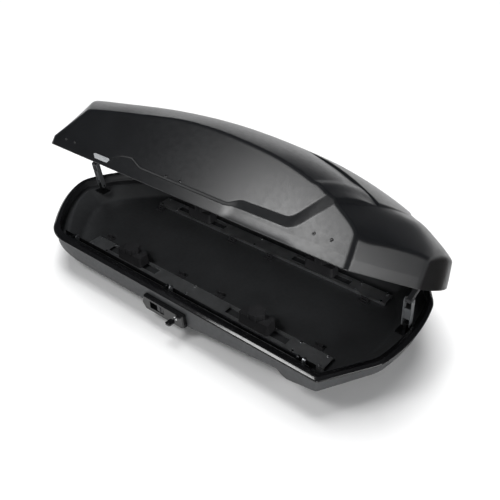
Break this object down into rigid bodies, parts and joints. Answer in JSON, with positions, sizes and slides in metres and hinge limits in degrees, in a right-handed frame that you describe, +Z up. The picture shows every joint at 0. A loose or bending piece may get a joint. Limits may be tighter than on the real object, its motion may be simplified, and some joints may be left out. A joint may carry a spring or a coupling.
{
  "type": "roof cargo box",
  "caption": "Long car roof cargo box with a tapered nose, shown with its domed lid raised on two folding lifters above a shallow tray with sliding latches and bar clamps.",
  "frame": {"origin": "middle of the tray's flat underside, midway along the box's length", "axes": "+X towards the nose, +Y towards the side that is hinged as drawn, +Z up"},
  "size_m": [1.9178, 0.9708, 0.7724],
  "materials": {
    "lid_plastic": "fine grained satin black ABS",
    "tray_plastic": "grained matt dark grey ABS",
    "gloss_black": "smooth gloss black",
    "lever_plastic": "moulded grey",
    "black_nylon": "glass-filled nylon",
    "zinc_steel": "zinc plated",
    "aluminium": "extruded, satin",
    "bright_metal": "polished"
  },
  "bodies": {
    "base": {"base_shell": "tray_plastic", "near_floor_rail": "aluminium", "far_floor_rail": "aluminium", "lashing_eyes": "black_nylon", "rail_rivets": "bright_metal", "near_latch_rail": "aluminium", "far_latch_rail": "aluminium", "near_lock_housing": "gloss_black", "far_lock_housing": "gloss_black", "nose_lifter_base": "zinc_steel", "tail_lifter_base": "zinc_steel"},
    "lid": {"lid_shell": "lid_plastic", "tail_lid_stiffener": "aluminium", "middle_lid_stiffener": "aluminium", "nose_lid_stiffener": "aluminium", "near_pin_brackets": "zinc_steel", "far_pin_brackets": "zinc_steel", "near_lid_pins": "zinc_steel", "far_lid_pins": "zinc_steel", "near_lid_rivets": "gloss_black", "far_lid_rivets": "gloss_black", "near_badge": "bright_metal", "far_badge": "bright_metal", "nose_lifter_bracket": "zinc_steel", "tail_lifter_bracket": "zinc_steel"},
    "near_latch": {"near_push_rod": "zinc_steel", "near_hooks": "zinc_steel", "near_slide_lever": "lever_plastic"},
    "far_latch": {"far_push_rod": "zinc_steel", "far_hooks": "zinc_steel", "far_slide_lever": "lever_plastic"},
    "near_lock": {"near_lock_barrel": "bright_metal"},
    "far_lock": {"far_lock_barrel": "bright_metal"},
    "key": {"key_blade": "bright_metal", "key_head": "gloss_black"},
    "nose_lever": {"nose_lifter_lever": "zinc_steel"},
    "nose_arm": {"nose_lifter_arm": "zinc_steel"},
    "tail_lever": {"tail_lifter_lever": "zinc_steel"},
    "tail_arm": {"tail_lifter_arm": "zinc_steel"},
    "clamp_1": {"clamp_housing_1": "black_nylon"},
    "knob_1": {"clamp_knob_1": "black_nylon", "clamp_spindle_1": "zinc_steel"},
    "tail_jaw_1": {"clamp_tail_jaw_1": "black_nylon"},
    "nose_jaw_1": {"clamp_nose_jaw_1": "black_nylon"},
    "clamp_2": {"clamp_housing_2": "black_nylon"},
    "knob_2": {"clamp_knob_2": "black_nylon", "clamp_spindle_2": "zinc_steel"},
    "tail_jaw_2": {"clamp_tail_jaw_2": "black_nylon"},
    "nose_jaw_2": {"clamp_nose_jaw_2": "black_nylon"},
    "clamp_3": {"clamp_housing_3": "black_nylon"},
    "knob_3": {"clamp_knob_3": "black_nylon", "clamp_spindle_3": "zinc_steel"},
    "tail_jaw_3": {"clamp_tail_jaw_3": "black_nylon"},
    "nose_jaw_3": {"clamp_nose_jaw_3": "black_nylon"},
    "clamp_4": {"clamp_housing_4": "black_nylon"},
    "knob_4": {"clamp_knob_4": "black_nylon", "clamp_spindle_4": "zinc_steel"},
    "tail_jaw_4": {"clamp_tail_jaw_4": "black_nylon"},
    "nose_jaw_4": {"clamp_nose_jaw_4": "black_nylon"}
  },
  "joints": [
    {"name": "lid_hinge", "type": "hinge", "parent": "base", "child": "lid", "pos_m": [0, 0.36, 0.12], "axis": [-1, 0, 0], "range_deg": [-31, 1]},
    {"name": "near_latch_slide", "type": "slide", "parent": "base", "child": "near_latch", "axis": [-1, 0, 0], "range_m": [0, 0.018]},
    {"name": "far_latch_slide", "type": "slide", "parent": "base", "child": "far_latch", "axis": [1, 0, 0], "range_m": [0, 0.018]},
    {"name": "near_lock_turn", "type": "hinge", "parent": "base", "child": "near_lock", "pos_m": [0.118, -0.402, 0.042], "axis": [0, -1, 0], "range_deg": [0, 90]},
    {"name": "far_lock_turn", "type": "hinge", "parent": "base", "child": "far_lock", "pos_m": [0.118, 0.402, 0.042], "axis": [0, 1, 0], "range_deg": [0, 90]},
    {"name": "key_slide", "type": "slide", "parent": "near_lock", "child": "key", "axis": [0, -1, 0], "range_m": [0, 0.028]},
    {"name": "nose_lever_turn", "type": "hinge", "parent": "base", "child": "nose_lever", "pos_m": [0.858, 0.04, 0.1047], "axis": [1, 0, 0], "range_deg": [-4, 46]},
    {"name": "nose_arm_turn", "type": "hinge", "parent": "nose_lever", "child": "nose_arm", "pos_m": [0.858, 0.02288, 0.2261], "axis": [1, 0, 0], "range_deg": [-63, 5]},
    {"name": "tail_lever_turn", "type": "hinge", "parent": "base", "child": "tail_lever", "pos_m": [-0.85, 0.04, 0.1047], "axis": [1, 0, 0], "range_deg": [-4, 46]},
    {"name": "tail_arm_turn", "type": "hinge", "parent": "tail_lever", "child": "tail_arm", "pos_m": [-0.85, 0.02288, 0.2261], "axis": [1, 0, 0], "range_deg": [-63, 5]},
    {"name": "clamp_slide_1", "type": "slide", "parent": "base", "child": "clamp_1", "axis": [1, 0, 0], "range_m": [-0.07, 0.07]},
    {"name": "knob_turn_1", "type": "hinge", "parent": "clamp_1", "child": "knob_1", "pos_m": [-0.33, -0.23, 0.076], "axis": [0, 0, 1], "range_deg": [0, 1440]},
    {"name": "tail_jaw_turn_1", "type": "hinge", "parent": "clamp_1", "child": "tail_jaw_1", "pos_m": [-0.376, -0.23, 0.034], "axis": [0, -1, 0], "range_deg": [0, 12]},
    {"name": "nose_jaw_turn_1", "type": "hinge", "parent": "clamp_1", "child": "nose_jaw_1", "pos_m": [-0.284, -0.23, 0.034], "axis": [0, 1, 0], "range_deg": [0, 12]},
    {"name": "clamp_slide_2", "type": "slide", "parent": "base", "child": "clamp_2", "axis": [1, 0, 0], "range_m": [-0.07, 0.07]},
    {"name": "knob_turn_2", "type": "hinge", "parent": "clamp_2", "child": "knob_2", "pos_m": [-0.33, 0.23, 0.076], "axis": [0, 0, 1], "range_deg": [0, 1440]},
    {"name": "tail_jaw_turn_2", "type": "hinge", "parent": "clamp_2", "child": "tail_jaw_2", "pos_m": [-0.376, 0.23, 0.034], "axis": [0, -1, 0], "range_deg": [0, 12]},
    {"name": "nose_jaw_turn_2", "type": "hinge", "parent": "clamp_2", "child": "nose_jaw_2", "pos_m": [-0.284, 0.23, 0.034], "axis": [0, 1, 0], "range_deg": [0, 12]},
    {"name": "clamp_slide_3", "type": "slide", "parent": "base", "child": "clamp_3", "axis": [1, 0, 0], "range_m": [-0.07, 0.07]},
    {"name": "knob_turn_3", "type": "hinge", "parent": "clamp_3", "child": "knob_3", "pos_m": [0.37, -0.23, 0.076], "axis": [0, 0, 1], "range_deg": [0, 1440]},
    {"name": "tail_jaw_turn_3", "type": "hinge", "parent": "clamp_3", "child": "tail_jaw_3", "pos_m": [0.324, -0.23, 0.034], "axis": [0, -1, 0], "range_deg": [0, 12]},
    {"name": "nose_jaw_turn_3", "type": "hinge", "parent": "clamp_3", "child": "nose_jaw_3", "pos_m": [0.416, -0.23, 0.034], "axis": [0, 1, 0], "range_deg": [0, 12]},
    {"name": "clamp_slide_4", "type": "slide", "parent": "base", "child": "clamp_4", "axis": [1, 0, 0], "range_m": [-0.07, 0.07]},
    {"name": "knob_turn_4", "type": "hinge", "parent": "clamp_4", "child": "knob_4", "pos_m": [0.37, 0.23, 0.076], "axis": [0, 0, 1], "range_deg": [0, 1440]},
    {"name": "tail_jaw_turn_4", "type": "hinge", "parent": "clamp_4", "child": "tail_jaw_4", "pos_m": [0.324, 0.23, 0.034], "axis": [0, -1, 0], "range_deg": [0, 12]},
    {"name": "nose_jaw_turn_4", "type": "hinge", "parent": "clamp_4", "child": "nose_jaw_4", "pos_m": [0.416, 0.23, 0.034], "axis": [0, 1, 0], "range_deg": [0, 12]}
  ],
  "couplings": [
    {"joint": "nose_lever_turn", "follows": "lid_hinge", "ratio": -1.43},
    {"joint": "nose_arm_turn", "follows": "lid_hinge", "ratio": 1.975},
    {"joint": "tail_lever_turn", "follows": "lid_hinge", "ratio": -1.43},
    {"joint": "tail_arm_turn", "follows": "lid_hinge", "ratio": 1.975},
    {"joint": "tail_jaw_turn_1", "follows": "knob_turn_1", "ratio": 0.0083},
    {"joint": "nose_jaw_turn_1", "follows": "knob_turn_1", "ratio": 0.0083},
    {"joint": "tail_jaw_turn_2", "follows": "knob_turn_2", "ratio": 0.0083},
    {"joint": "nose_jaw_turn_2", "follows": "knob_turn_2", "ratio": 0.0083},
    {"joint": "tail_jaw_turn_3", "follows": "knob_turn_3", "ratio": 0.0083},
    {"joint": "nose_jaw_turn_3", "follows": "knob_turn_3", "ratio": 0.0083},
    {"joint": "tail_jaw_turn_4", "follows": "knob_turn_4", "ratio": 0.0083},
    {"joint": "nose_jaw_turn_4", "follows": "knob_turn_4", "ratio": 0.0083}
  ]
}
